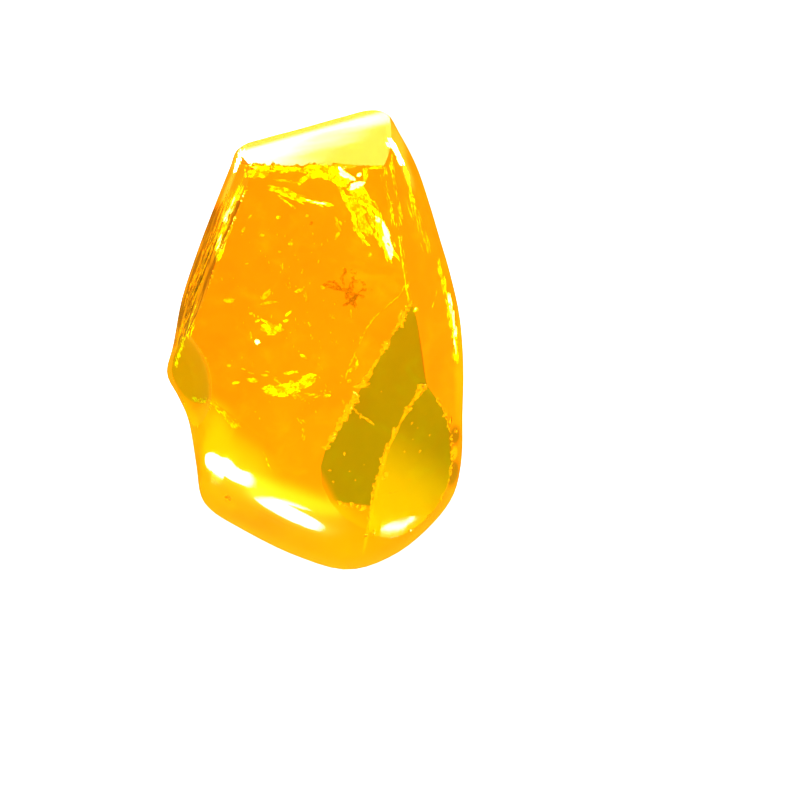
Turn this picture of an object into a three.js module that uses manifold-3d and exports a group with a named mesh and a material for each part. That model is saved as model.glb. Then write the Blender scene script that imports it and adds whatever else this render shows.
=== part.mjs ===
// A single polished crystal stone: a freeform pebble with flat polished faces, a rounded foot
// and two broken faces. It lies on its flat back with the front face up.
// Millimetres, +Z up, +Y along the stone towards its flat end, origin in the middle of the back.
import * as THREE from 'three';
import { LoftGeometry } from 'three/addons/geometries/LoftGeometry.js';
import { mergeVertices } from 'three/addons/utils/BufferGeometryUtils.js';
import Module from 'manifold-3d';

const wasm = await Module();
wasm.setup();

// ---- driving dimensions ----

const THICKNESS = 24; // from the flat back to the front face

// The stone seen square to its front face, as stations going round it clockwise.
// rim: the widest outline. wall: height at which the side wall ends and the front slope begins.
// edge: where that slope meets the front face. round: 0 for a flat slope, 1 for a full round.
const RIGHT_SIDE = [
  { rim: [10.5, 25.9], wall: 18.6, edge: [7.9, 26.0], round: 0 },
  { rim: [12.6, 21.8], wall: 19.2, edge: [8.6, 21.3], round: 0 },
  { rim: [14.3, 16.9], wall: 18.6, edge: [9.7, 16.4], round: 0 },
  { rim: [15.5, 12.9], wall: 18.2, edge: [10.7, 12.3], round: 0 },
  { rim: [16.7, 8.9], wall: 17.8, edge: [11.4, 8.3], round: 0 },
  { rim: [18.0, 3.2], wall: 17.2, edge: [12.2, 2.9], round: 0 },
  { rim: [18.5, -3.0], wall: 16.6, edge: [12.2, -3.2], round: 0 },
  { rim: [18.4, -9.3], wall: 16.5, edge: [12.0, -8.6], round: 0.1 },
  { rim: [18.3, -14.9], wall: 15.2, edge: [11.8, -12.0], round: 0.2 },
  { rim: [17.3, -19.4], wall: 13.4, edge: [10.8, -14.2], round: 0.45 },
];
const FOOT = [
  { rim: [14.5, -23.3], wall: 11.6, edge: [9.0, -15.0], round: 0.8 },
  { rim: [9.8, -27.1], wall: 10.6, edge: [6.0, -14.4], round: 0.95 },
  { rim: [4.0, -29.0], wall: 10.0, edge: [2.4, -13.4], round: 0.92 },
  { rim: [-3.0, -27.1], wall: 10.0, edge: [-1.8, -12.8], round: 0.94 },
  { rim: [-10.1, -23.4], wall: 12.2, edge: [-6.4, -12.0], round: 0.85 },
  { rim: [-13.1, -21.3], wall: 15.0, edge: [-7.8, -11.0], round: 0.7 },
];
const LEFT_SIDE = [
  { rim: [-14.3, -19.2], wall: 18.2, edge: [-8.9, -10.0], round: 0.6 },
  { rim: [-14.7, -15.4], wall: 20.4, edge: [-10.9, -8.6], round: 0.6 },
  { rim: [-15.7, -9.9], wall: 19.8, edge: [-12.8, -7.0], round: 0.4 },
  { rim: [-17.1, -7.0], wall: 17.5, edge: [-12.6, -5.2], round: 0.3 },
  { rim: [-18.6, -4.1], wall: 16.6, edge: [-13.6, -2.6], round: 0.2 },
  { rim: [-17.7, -0.5], wall: 18.2, edge: [-15.6, -0.3], round: 0 },
  { rim: [-16.6, 5.1], wall: 18.8, edge: [-13.5, 4.9], round: 0 },
  { rim: [-14.8, 10.7], wall: 18.8, edge: [-11.7, 10.5], round: 0 },
  { rim: [-12.7, 16.3], wall: 18.8, edge: [-9.3, 16.0], round: 0 },
  { rim: [-10.6, 21.5], wall: 19.0, edge: [-7.8, 21.0], round: 0 },
];
const FLAT_END = [
  { rim: [-9.5, 23.8], wall: 20.0, edge: [-8.9, 23.6], round: 0 },
  { rim: [-6.0, 25.0], wall: 20.0, edge: [-5.9, 25.1], round: 0 },
  { rim: [-1.9, 26.2], wall: 20.0, edge: [-1.9, 26.2], round: 0 },
  { rim: [3.4, 27.8], wall: 20.0, edge: [3.4, 27.8], round: 0 },
  { rim: [7.0, 28.7], wall: 20.0, edge: [6.4, 28.4], round: 0 },
  { rim: [9.0, 28.2], wall: 19.2, edge: [7.5, 27.6], round: 0 },
];
// The loft winds the other way.
const STATIONS = [...RIGHT_SIDE, ...FOOT, ...LEFT_SIDE, ...FLAT_END].reverse();

// Underside: the side wall goes down to this height and then turns into the flat back.
const WALL_BOTTOM = 5.5;
const BACK_INSET = 0.13; // share by which the flat back is smaller than the rim

// Flat faces, each given by a point on it and the direction that it faces.
const END_FACE = { at: [0, 21.4, THICKNESS], facing: [0, 0.574, 0.819] };
const CHIP_FACE = { at: [5, -7.2, THICKNESS], facing: [0.238, -0.14, 0.961] };
const BACK_BEVELS = [
  { at: [-13.6, 8, 0], facing: [-0.72, 0.26, -0.64] },
  { at: [14.6, 4, 0], facing: [0.74, 0.1, -0.66] },
  { at: [0, 24, 0], facing: [-0.18, 0.7, -0.69] },
];

// Shell-shaped breaks, each a shallow part of a ball. at: the middle of the break's rim.
// sag: how far the hollow lies below that rim. segments: how finely the ball is made.
const OVAL_BREAK = {
  at: [12.5, -15.4, 19.8], facing: [0.471, -0.229, 0.852], radius: 90, sag: 0.3, segments: 160,
};
const TIP_BREAK = {
  at: [-15.2, -3.6, 21.4], facing: [-0.752, -0.278, 0.598], radius: 10, sag: 0.85, segments: 72,
};

// Fineness of the round stretches.
const AROUND = 132;
const ROUND_STEPS = 12;
const UNDER_STEPS = 4;

const CUT_SIZE = 150; // blocks that cut flat faces are larger than the stone
const MERGE_DISTANCE = 1e-5;

// ---- booleans ----

function solidFrom(geometry) {
  const bare = new THREE.BufferGeometry();
  bare.setAttribute('position', geometry.getAttribute('position'));
  bare.setIndex(geometry.getIndex());
  const merged = mergeVertices(bare, MERGE_DISTANCE);
  const vertProperties = new Float32Array(merged.attributes.position.array);
  const triVerts = new Uint32Array(merged.index.array);
  return new wasm.Manifold(new wasm.Mesh({ numProp: 3, vertProperties, triVerts }));
}

function geometryFrom(solid) {
  const mesh = solid.getMesh();
  const geometry = new THREE.BufferGeometry();
  geometry.setAttribute('position', new THREE.BufferAttribute(mesh.vertProperties, 3));
  geometry.setIndex(new THREE.BufferAttribute(mesh.triVerts, 1));
  geometry.computeVertexNormals();
  return geometry;
}

// ---- the rounded body ----

function closedCurve(points) {
  return new THREE.CatmullRomCurve3(points, true, 'centripetal');
}

function ringPoints(curve) {
  return Array.from({ length: AROUND }, (_, i) => curve.getPoint(i / AROUND));
}

// Blends three matching rings along a quadratic curve, so the rings between them bow outwards.
function bowedRings(start, middle, end, steps) {
  const rings = [];
  for (let step = 1; step <= steps; step += 1) {
    const ring = start.map((point, i) => {
      const bow = new THREE.QuadraticBezierCurve3(point, middle[i], end[i]);
      return bow.getPoint(step / steps);
    });
    rings.push(ring);
  }
  return rings;
}

function makeBody() {
  const wallTop = STATIONS.map(({ rim, wall }) => new THREE.Vector3(rim[0], rim[1], wall));
  const wallBottom = STATIONS.map(({ rim }) => new THREE.Vector3(rim[0], rim[1], WALL_BOTTOM));
  const backCorner = STATIONS.map(({ rim }) => new THREE.Vector3(rim[0], rim[1], 0));
  const back = backCorner.map((corner) => corner.clone().multiplyScalar(1 - BACK_INSET));
  const front = STATIONS.map(({ edge }) => new THREE.Vector3(edge[0], edge[1], THICKNESS));
  const shoulder = STATIONS.map(({ rim, round }, i) => {
    const halfway = wallTop[i].clone().lerp(front[i], 0.5);
    const corner = new THREE.Vector3(rim[0], rim[1], THICKNESS);
    return halfway.lerp(corner, round);
  });
  const [backRing, backCornerRing, bottomRing, topRing, shoulderRing, frontRing] = [
    back, backCorner, wallBottom, wallTop, shoulder, front,
  ].map((points) => ringPoints(closedCurve(points)));
  const sections = [
    backRing,
    ...bowedRings(backRing, backCornerRing, bottomRing, UNDER_STEPS),
    topRing,
    ...bowedRings(topRing, shoulderRing, frontRing, ROUND_STEPS),
  ];
  return solidFrom(new LoftGeometry(sections, { capStart: true, capEnd: true }));
}

// ---- the faces cut into it ----

// Everything on the outer side of a plane, as a large block.
function blockOutside({ at, facing }) {
  const normal = new THREE.Vector3(...facing).normalize();
  const block = new THREE.BoxGeometry(CUT_SIZE, CUT_SIZE, CUT_SIZE);
  block.translate(0, 0, CUT_SIZE / 2);
  block.applyQuaternion(new THREE.Quaternion().setFromUnitVectors(new THREE.Vector3(0, 0, 1), normal));
  block.translate(...at);
  return solidFrom(block);
}

function ballFor({ at, facing, radius, sag, segments }) {
  const normal = new THREE.Vector3(...facing).normalize();
  const centre = new THREE.Vector3(...at).addScaledVector(normal, radius - sag);
  const ball = new THREE.SphereGeometry(radius, segments, segments / 2);
  ball.translate(centre.x, centre.y, centre.z);
  return solidFrom(ball);
}

function makeStone() {
  let stone = makeBody();
  for (const face of [END_FACE, CHIP_FACE, ...BACK_BEVELS]) {
    stone = stone.subtract(blockOutside(face));
  }
  for (const hollow of [OVAL_BREAK, TIP_BREAK]) {
    stone = stone.subtract(ballFor(hollow));
  }
  const crystal = new THREE.MeshStandardMaterial({
    color: 0xffa300,
    roughness: 0.05,
    metalness: 0,
    transparent: true,
    opacity: 0.8,
  });
  const mesh = new THREE.Mesh(geometryFrom(stone), crystal);
  mesh.name = 'stone';
  const middle = new THREE.Box3().setFromObject(mesh).getCenter(new THREE.Vector3());
  mesh.position.set(-middle.x, -middle.y, 0);
  return mesh;
}

const model = new THREE.Group();
model.add(makeStone());

export default model;
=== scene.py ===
"""A polished yellow crystal stone, finished around its CAD solid.

Laid out as a Blender add-on and run as a script. Lengths below are in millimetres in the CAD
frame: +Z up, +Y towards the flat end of the stone, origin in the middle of its flat back.
"""

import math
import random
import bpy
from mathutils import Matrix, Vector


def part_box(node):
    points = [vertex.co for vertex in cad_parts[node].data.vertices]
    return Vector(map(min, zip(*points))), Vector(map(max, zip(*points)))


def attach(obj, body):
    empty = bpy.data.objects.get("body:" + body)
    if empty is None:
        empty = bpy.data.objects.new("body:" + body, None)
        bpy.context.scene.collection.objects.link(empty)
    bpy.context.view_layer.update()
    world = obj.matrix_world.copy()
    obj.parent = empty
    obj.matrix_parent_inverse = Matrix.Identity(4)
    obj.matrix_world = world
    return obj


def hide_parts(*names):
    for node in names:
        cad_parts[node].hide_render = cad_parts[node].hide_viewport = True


bl_info = {
    "name": "Polished Yellow Crystal",
    "version": (1, 0, 0),
    "blender": (4, 5, 0),
    "location": "3D View > Sidebar > Crystal",
    "description": "Finishes a polished yellow crystal: its glass, nicked ridges and inner flaws",
    "category": "Object",
}

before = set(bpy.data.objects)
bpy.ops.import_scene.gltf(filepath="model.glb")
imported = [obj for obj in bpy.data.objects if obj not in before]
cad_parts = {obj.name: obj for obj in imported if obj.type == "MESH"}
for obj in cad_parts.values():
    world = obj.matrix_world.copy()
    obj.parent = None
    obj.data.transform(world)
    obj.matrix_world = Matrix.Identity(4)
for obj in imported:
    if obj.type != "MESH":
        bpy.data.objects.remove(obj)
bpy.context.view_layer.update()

import bpy
from bpy.props import FloatProperty, FloatVectorProperty, PointerProperty
from mathutils import Matrix, Vector
from mathutils.bvhtree import BVHTree
from mathutils.interpolate import poly_3d_calc

MM = 0.001
STONE_NODE = "stone"
BODY = "root"
SEED = 41

MERGE_DISTANCE = 1e-6
FAR = 1000.0  # reach of a zone in height, where it has no end
ABOVE_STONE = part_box(STONE_NODE)[1][2] / MM + 5.0
DOWN = Vector((0.0, 0.0, -1.0))

# The flat faces and shell breaks of the solid: a point on each and the way that it faces.
CROWN_FACE = {"at": (0.0, 21.54, 24.0), "facing": (0.0, 0.574, 0.819)}
CHIP_FACE = {"at": (5.05, -7.06, 24.0), "facing": (0.238, -0.14, 0.961)}
FRONT_FACE = {"at": (0.0, 0.0, 24.0), "facing": (0.0, 0.0, 1.0)}
BACK_FACE = {"at": (0.0, 0.0, 0.0), "facing": (0.0, 0.0, -1.0)}
BACK_BEVELS = (
    {"at": (-13.55, 8.14, 0.0), "facing": (-0.72, 0.26, -0.64)},
    {"at": (14.65, 4.14, 0.0), "facing": (0.74, 0.1, -0.66)},
    {"at": (0.05, 24.14, 0.0), "facing": (-0.18, 0.7, -0.69)},
)
OVAL_BREAK = {"at": (12.55, -15.26, 19.8), "facing": (0.471, -0.229, 0.852), "radius": 90, "sag": 0.3}
TIP_BREAK = {"at": (-15.15, -3.46, 21.4), "facing": (-0.752, -0.278, 0.598), "radius": 10, "sag": 0.85}
FLAT_FACES = {
    "front": FRONT_FACE, "crown": CROWN_FACE, "chip": CHIP_FACE, "back": BACK_FACE,
    "bevel_left": BACK_BEVELS[0], "bevel_right": BACK_BEVELS[1], "bevel_end": BACK_BEVELS[2],
}
HOLLOWS = {"oval": OVAL_BREAK, "tip": TIP_BREAK}


# ---- small helpers ----

def metres(point):
    """A point in millimetres as a vector in metres."""
    return Vector(point) * MM


def opaque(colour):
    """A colour of three values with full opacity added."""
    return tuple(colour) + (1.0,)


def only(obj):
    """Leaves one object selected and active."""
    bpy.ops.object.select_all(action="DESELECT")
    obj.select_set(True)
    bpy.context.view_layer.objects.active = obj


def in_edit_mode(obj, *steps):
    """Runs the given steps on all of an object's mesh in edit mode."""
    only(obj)
    bpy.ops.object.mode_set(mode="EDIT")
    bpy.ops.mesh.select_all(action="SELECT")
    for step in steps:
        step()
    bpy.ops.object.mode_set(mode="OBJECT")


def apply_place(obj):
    """Puts an object's place, turn and size into its mesh."""
    only(obj)
    bpy.ops.object.transform_apply(location=True, rotation=True, scale=True)


def copy_of(obj, name):
    """A copy of an object with a mesh of its own."""
    twin = obj.copy()
    twin.data = obj.data.copy()
    twin.name = name
    twin.data.name = name
    bpy.context.scene.collection.objects.link(twin)
    return twin


def apply_modifier(obj, modifier):
    only(obj)
    bpy.ops.object.modifier_apply(modifier=modifier.name)


def ride(obj):
    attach(obj, BODY)


def give_material(obj, material):
    obj.data.materials.clear()
    obj.data.materials.append(material)


# ---- shader building ----

class Shader:
    """A node tree with short ways to add its nodes."""

    def __init__(self, tree):
        self.tree = tree

    def node(self, kind, **settings):
        node = self.tree.nodes.new(kind)
        for key, value in settings.items():
            setattr(node, key, value)
        return node

    def link(self, source, target):
        self.tree.links.new(source, target)

    def feed(self, socket, value):
        if isinstance(value, bpy.types.NodeSocket):
            self.link(value, socket)
        else:
            socket.default_value = value

    def fill(self, node, values):
        """Feeds a node's inputs by name, each with a value or with another node's output."""
        for name, value in values.items():
            self.feed(node.inputs[name], value)

    def math(self, operation, first, second):
        node = self.node("ShaderNodeMath", operation=operation)
        self.feed(node.inputs[0], first)
        self.feed(node.inputs[1], second)
        return node.outputs[0]

    def product(self, first, second):
        return self.math("MULTIPLY", first, second)

    def vector_math(self, operation, first, second, output):
        node = self.node("ShaderNodeVectorMath", operation=operation)
        self.feed(node.inputs[0], first)
        self.feed(node.inputs[1], second)
        return node.outputs[output]

    def smooth(self, value, low, high, to_low=0.0, to_high=1.0):
        node = self.node("ShaderNodeMapRange", interpolation_type="SMOOTHSTEP")
        limits = {"From Min": low, "From Max": high, "To Min": to_low, "To Max": to_high}
        self.fill(node, {"Value": value, **limits})
        return node.outputs["Result"]

    def smooth_mm(self, value, low, high, to_low=0.0, to_high=1.0):
        return self.smooth(value, low * MM, high * MM, to_low, to_high)

    def mix(self, factor, first, second, kind="RGBA"):
        node = self.node("ShaderNodeMix", data_type=kind)
        self.fill(node, {"Factor": factor, "A": first, "B": second})
        return node.outputs["Result"]

    def mix_value(self, factor, first, second):
        return self.mix(factor, first, second, "FLOAT")

    def noise(self, vector, scale, detail, roughness=0.5, distortion=0.0):
        node = self.node("ShaderNodeTexNoise")
        self.fill(node, {"Vector": vector, "Scale": scale, "Detail": detail})
        self.fill(node, {"Roughness": roughness, "Distortion": distortion})
        return node.outputs["Fac"]

    def attribute(self, name):
        return self.node("ShaderNodeAttribute", attribute_name=name).outputs["Fac"]

    def object_point(self):
        return self.node("ShaderNodeTexCoord").outputs["Object"]

    def mapped(self, point, turn, scale, at=(0.0, 0.0, 0.0)):
        """Coordinates moved to a place, turned by degrees seen from above, and stretched."""
        node = self.node("ShaderNodeMapping", vector_type="TEXTURE")
        rotation = (0.0, 0.0, math.radians(turn))
        self.fill(node, {"Vector": point, "Location": at, "Rotation": rotation, "Scale": scale})
        return node.outputs["Vector"]

    def zone(self, point, x, y, half_length, half_width, turn, core):
        """1 in the core of a soft oval seen from above, 0 outside the oval. turn is in degrees."""
        scale = (half_length * MM, half_width * MM, FAR)
        place = self.mapped(point, turn, scale, (x * MM, y * MM, 0.0))
        away = self.vector_math("LENGTH", place, (0.0, 0.0, 0.0), "Value")
        return self.smooth(away, core, 1.0, 1.0, 0.0)

    def beyond(self, point, x, y, turn, width):
        """0 before a line seen from above and 1 beyond it. turn is the way across it, in degrees."""
        way = (math.cos(math.radians(turn)), math.sin(math.radians(turn)), 0.0)
        from_line = self.vector_math("SUBTRACT", point, metres((x, y, 0)), "Vector")
        return self.smooth_mm(self.vector_math("DOT_PRODUCT", from_line, way, "Value"), 0.0, width)

    def wavered(self, value, wave, reach):
        """A length with the ups and downs of a pattern added. reach is in millimetres."""
        return self.math("ADD", value, self.product(self.math("SUBTRACT", wave, 0.5), reach * MM))


def new_material(name):
    material = bpy.data.materials.new(name)
    material.use_nodes = True
    tree = material.node_tree
    tree.nodes.clear()
    shader = Shader(tree)
    surface = shader.node("ShaderNodeBsdfPrincipled")
    output = shader.node("ShaderNodeOutputMaterial")
    shader.link(surface.outputs["BSDF"], output.inputs["Surface"])
    return material, shader, surface, output


# ---- the stone ----

class CrystalGlass(bpy.types.PropertyGroup):
    ior: FloatProperty(
        name="Index of refraction", description="How strongly the crystal bends light",
        default=1.55, min=1.3, max=2.0,
    )
    clearness: FloatProperty(
        name="Clearness", description="Share of light that goes through instead of scattering",
        default=0.9, min=0.0, max=1.0, subtype="FACTOR",
    )
    depth_colour: FloatVectorProperty(
        name="Depth colour", description="Colour that is left after a long way inside",
        default=(1.0, 0.72, 0.02), size=3, min=0.0, max=1.0, subtype="COLOR",
    )
    depth_density: FloatProperty(
        name="Depth density", description="How fast the depth colour builds up, per metre",
        default=30.0, min=0.0, soft_max=400.0,
    )
    upper_colour: FloatVectorProperty(
        name="Upper body", description="Tint of the body towards the flat end",
        default=(1.0, 0.33, 0.002), size=3, min=0.0, max=1.0, subtype="COLOR",
    )
    lower_colour: FloatVectorProperty(
        name="Lower body", description="Tint of the body towards the rounded foot",
        default=(1.0, 0.395, 0.002), size=3, min=0.0, max=1.0, subtype="COLOR",
    )
    # The shaded faces carry painted shade: the chip face and the oval break are darkened to olive as faces
    # turned from the light.
    olive_colour: FloatVectorProperty(
        name="Shaded faces", description="Tint of the chip face and the oval break",
        default=(0.085, 0.25, 0.0006), size=3, min=0.0, max=1.0, subtype="COLOR",
    )


# Soft zones of the body. Each: x, y, half length, half width, turn in degrees, share of its core.
# The first zones are painted glow: yellow round the gleams on the foot and along the right rim.
PAINTED_GLOW_ZONES = (
    (-10.4, -13.6, 8.5, 3.8, -32, 0.3), (-3.0, -19.6, 9.0, 3.0, -17, 0.3),
    (-12.5, -9.5, 4.5, 2.6, -50, 0.1), (18.3, -1.5, 13.5, 1.1, 88, 0.2),
)
FOOT_ZONE = (2.0, -26.0, 15.0, 6.0, 8, 0.2)
FOOT_HAZE = (-4.0, -19.0, 13.0, 6.5, -22, 0.6)
# The tip break's zone takes painted shade: a muted olive on a face turned from the light.
TIP_SHADE_ZONE = (-15.3, -3.4, 5.6, 3.2, -68, 0.75)
BROWN_ZONES = ((17.5, -11.6, 1.7, 0.9, 86, 0.45), (17.1, -16.4, 2.5, 1.4, 80, 0.45))
SEAM_ZONES = ((13.3, -1.7, 4.2, 0.16, -82, 0.4), (17.0, -13.2, 6.0, 0.3, -86, 0.3))
# Painted highlights: pale patches at the tops of the right slope and of the rough strip.
PAINTED_HIGHLIGHT_ZONES = (
    (10.2, 25.0, 3.6, 1.0, -68, 0.3), (11.4, 21.2, 3.4, 0.7, -70, 0.2),
    (-9.3, 22.8, 2.2, 0.8, 62, 0.2), (-10.6, 19.4, 3.6, 0.5, 68, 0.2),
)
# A painted highlight: the golden line along the oval break's ridge and on down the foot, as short stretches,
# and a painted glint between the brown patches.
RIDGE_HIGHLIGHT_ZONES = (
    (12.9, -6.4, 1.3, 0.3, 53, 0.5), (11.4, -8.7, 2.1, 0.24, 60, 0.5), (9.8, -11.8, 2.2, 0.22, 63, 0.5),
    (8.6, -14.9, 2.0, 0.26, 75, 0.5), (7.8, -18.1, 2.2, 0.22, 77, 0.5), (6.7, -23.2, 4.0, 0.26, 78, 0.6),
    (17.4, -13.9, 1.1, 0.5, 80, 0.5),
)
# The spots on the foot that carry a gleam.
LENS_ZONES = (
    (-10.9, -15.5, 4.6, 1.7, -31, 0.7), (-3.4, -21.4, 5.4, 1.9, -18, 0.7), (10.3, -23.2, 3.4, 1.2, 22, 0.7),
)

# Lines at which painted shade and painted glow begin: x, y, the way across in degrees and the softness. The
# chip face is darkened in painted shade beyond both of its lines, and the oval break turns golden beyond its
# own, a painted glow.
CHIP_LINES = ((4.6, -20.6, 82, 0.8), (-0.7, -17.4, 28, 2.6))
OVAL_GLOW_LINE = (13.6, -11.4, -124, 9.0)

# Yellow is both a tone of the haze and the colour of the painted glow.
YELLOW_TONE_AND_GLOW = (1.0, 0.7, 0.004, 1.0)
EMBER_BODY = (1.0, 0.24, 0.002, 1.0)
FOOT_BODY = (1.0, 0.57, 0.001, 1.0)
# Painted shade of the tip break.
TIP_PAINTED_SHADE = (0.17, 0.33, 0.0005, 1.0)
BROWN_BODY = (0.13, 0.14, 0.001, 1.0)
# Colours of painted light: pale highlights, golden glow on the oval break, a golden highlight along its
# ridge, the yellow rim light and the nicks' glints.
PAINTED_HIGHLIGHT_BODY = (1.0, 1.0, 0.2, 1.0)
OVAL_GLOW_BODY = (0.36, 0.84, 0.002, 1.0)
RIDGE_HIGHLIGHT_BODY = (1.0, 0.95, 0.003, 1.0)
PAINTED_RIM_LIGHT = (1.0, 0.86, 0.01, 1.0)
NICK_GLINT = (1.0, 0.95, 0.01, 1.0)
NICK_DARK = (0.9, 0.44, 0.002, 1.0)
STREAK_DARK = (0.07, 0.05, 0.001, 1.0)
STREAK_LIGHT = (0.36, 0.36, 0.003, 1.0)

# Patterns of the body, as settings of a noise with its scale per metre, and the noise values between
# which each fades in.
CLOUD = {"scale": 160.0, "detail": 4.0, "roughness": 0.55}
HAZE = {"scale": 260.0, "detail": 4.0, "roughness": 0.62, "distortion": 0.6}
HAZE_FADE = (0.5, 0.8)
EMBER = {"scale": 120.0, "detail": 2.0, "distortion": 1.0}
EMBER_FADE = (0.5, 0.72)
VEIL_SHARE = 0.4  # how strongly the haze and the embers tint the body
# Spots of painted glint on the nicks, bright yellow where their bruises would catch the light.
NICK_GLINT_SPOTS = {"scale": 2200.0, "detail": 2.0}
NICK_GLINT_FADE = (0.38, 0.54)
STREAKS = {"scale": 900.0, "detail": 4.0, "roughness": 0.6}
STREAK_STRETCH = (6.0, 0.7, 0.7)
STREAK_FADE = (0.47, 0.64)

TINT_CHANGE = (-18.0, 14.0)  # along Y, from the lower tint to the upper one
CLOUD_REACH = 24.0  # how far the clouds move that change to and fro
FRONT_RISE = (7.0, 10.0)  # heights between which the marks fade in, so that none lies on the back

# The gloss of the crown: where it ends to the right, further left with each step up the crown, and
# where it ends before the back edge.
CROWN_START = 21.4
CROWN_SLANT = 2.2
CROWN_FADE = (-10.0, -1.0)
WAVE = {"scale": 500.0, "detail": 2.0}
WAVE_TURN = 14.0
WAVE_STRETCH = (8.0, 1.0, 1.0)
WAVE_REACH = 9.0
EDGE_SLANT = 0.3
EDGE_FADE = (25.7, 26.4)

# The rim takes a painted rim light: a yellow tint where the surface turns away from the view.
RIM_START = 0.55  # how far the surface turns away before it takes the rim's tint
MIRROR_TINT = (1.0, 0.78, 0.0, 1.0)
FRONT_ROUGHNESS = 0.06
FOOT_ROUGHNESS = 0.24
BACK_ROUGHNESS = 0.55
GLOSS_ROUGHNESS = 0.04
GLOSS_IOR = 1.8


def body_colour(shader, point, settings):
    """The tint of the crystal: deeper towards the flat end, with brown parts, olive painted shade, and paler
    parts of painted glow, highlights and glints.
    """
    axes = shader.node("ShaderNodeSeparateXYZ")
    shader.link(point, axes.inputs[0])
    olive = opaque(settings.olive_colour)
    front = shader.smooth_mm(axes.outputs["Z"], *FRONT_RISE)
    along = shader.wavered(axes.outputs["Y"], shader.noise(point, **CLOUD), CLOUD_REACH)
    upper_share = shader.smooth_mm(along, *TINT_CHANGE)
    body = shader.mix(upper_share, opaque(settings.lower_colour), opaque(settings.upper_colour))

    def veiled(below, pattern, fade, colour):
        veil = shader.smooth(shader.noise(point, **pattern), *fade)
        return shader.mix(shader.product(veil, VEIL_SHARE), below, colour)

    def marked(below, zones, colour):
        for zone in zones:
            below = shader.mix(shader.product(shader.zone(point, *zone), front), below, colour)
        return below

    body = veiled(body, HAZE, HAZE_FADE, YELLOW_TONE_AND_GLOW)
    body = veiled(body, EMBER, EMBER_FADE, EMBER_BODY)
    # painted glow round the gleams on the foot and along the right rim
    for zone in PAINTED_GLOW_ZONES:
        body = shader.mix(shader.zone(point, *zone), body, YELLOW_TONE_AND_GLOW)
    body = shader.mix(shader.zone(point, *FOOT_ZONE), body, FOOT_BODY)
    body = marked(body, BROWN_ZONES, BROWN_BODY)
    # painted highlights at the tops of the right slope and of the rough strip
    body = marked(body, PAINTED_HIGHLIGHT_ZONES, PAINTED_HIGHLIGHT_BODY)
    # painted shade on the tip break
    tip = shader.product(shader.attribute("tip"), shader.zone(point, *TIP_SHADE_ZONE))
    body = shader.mix(tip, body, TIP_PAINTED_SHADE)
    # painted shade: the chip face turns olive beyond its lines
    chip = shader.attribute("chip")
    for line in CHIP_LINES:
        chip = shader.product(chip, shader.beyond(point, *line))
    body = shader.mix(chip, body, olive)
    # the oval break: olive painted shade that turns to a painted golden glow beyond its line, round the gleam
    # at its foot
    oval = shader.mix(shader.beyond(point, *OVAL_GLOW_LINE), olive, OVAL_GLOW_BODY)
    body = shader.mix(shader.attribute("oval"), body, oval)
    body = marked(body, SEAM_ZONES, BROWN_BODY)
    # painted highlight along the oval break's ridge and a painted glint between the brown patches
    body = marked(body, RIDGE_HIGHLIGHT_ZONES, RIDGE_HIGHLIGHT_BODY)
    strip = shader.mix(strip_streaks(shader, point), STREAK_DARK, STREAK_LIGHT)
    body = shader.mix(shader.attribute("strip"), body, strip)
    # the nicks: their own darker tone with spots of painted glint
    spots = shader.smooth(shader.noise(point, **NICK_GLINT_SPOTS), *NICK_GLINT_FADE)
    return shader.mix(shader.attribute("nick"), body, shader.mix(spots, NICK_DARK, NICK_GLINT))


def strip_streaks(shader, point):
    """Streaks that run along the rough strip."""
    streaks = shader.noise(shader.mapped(point, STRIP_TURN, STREAK_STRETCH), **STREAKS)
    return shader.smooth(streaks, *STREAK_FADE)


def gloss_share(shader, point):
    """Where the polish is at its best: the crown, fading to one side, and three spots on the foot."""
    axes = shader.node("ShaderNodeSeparateXYZ")
    shader.link(point, axes.inputs[0])
    rise = shader.math("SUBTRACT", axes.outputs["Y"], CROWN_START * MM)
    ramp = shader.math("SUBTRACT", axes.outputs["X"], shader.product(rise, CROWN_SLANT))
    wave = shader.noise(shader.mapped(point, WAVE_TURN, WAVE_STRETCH), **WAVE)
    gloss = shader.smooth_mm(shader.wavered(ramp, wave, WAVE_REACH), *CROWN_FADE, 1.0, 0.0)
    back_edge = shader.math("SUBTRACT", axes.outputs["Y"], shader.product(axes.outputs["X"], EDGE_SLANT))
    gloss = shader.product(gloss, shader.smooth_mm(back_edge, *EDGE_FADE, 1.0, 0.0))
    gloss = shader.product(gloss, shader.attribute("crown"))
    for zone in LENS_ZONES:
        gloss = shader.math("MAXIMUM", gloss, shader.zone(point, *zone))
    return gloss


def make_crystal_material(settings):
    """Clear glass that absorbs, with its tints and its painted light and shade on the surface."""
    material, shader, surface, output = new_material("crystal_body")
    point = shader.object_point()
    view = shader.node("ShaderNodeLayerWeight")
    # painted rim light: yellow where the surface turns away from the view, but not on the rough strip
    rim = shader.smooth(view.outputs["Facing"], RIM_START, 1.0)
    rim = shader.product(rim, shader.math("SUBTRACT", 1.0, shader.attribute("strip")))
    body = shader.mix(rim, body_colour(shader, point, settings), PAINTED_RIM_LIGHT)
    rough = shader.mix_value(shader.zone(point, *FOOT_HAZE), FRONT_ROUGHNESS, FOOT_ROUGHNESS)
    rough = shader.mix_value(shader.attribute("back"), rough, BACK_ROUGHNESS)
    shader.fill(surface, {
        "Base Color": body,
        "Roughness": rough,
        "Metallic": 0.0,
        "Transmission Weight": settings.clearness,
        "IOR": settings.ior,
        "Specular Tint": MIRROR_TINT,
        "Coat Weight": gloss_share(shader, point),
        "Coat Roughness": GLOSS_ROUGHNESS,
        "Coat IOR": GLOSS_IOR,
    })
    depth = shader.node("ShaderNodeVolumeAbsorption")
    shader.fill(depth, {"Color": opaque(settings.depth_colour), "Density": settings.depth_density})
    shader.link(depth.outputs["Volume"], output.inputs["Volume"])
    return material


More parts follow.
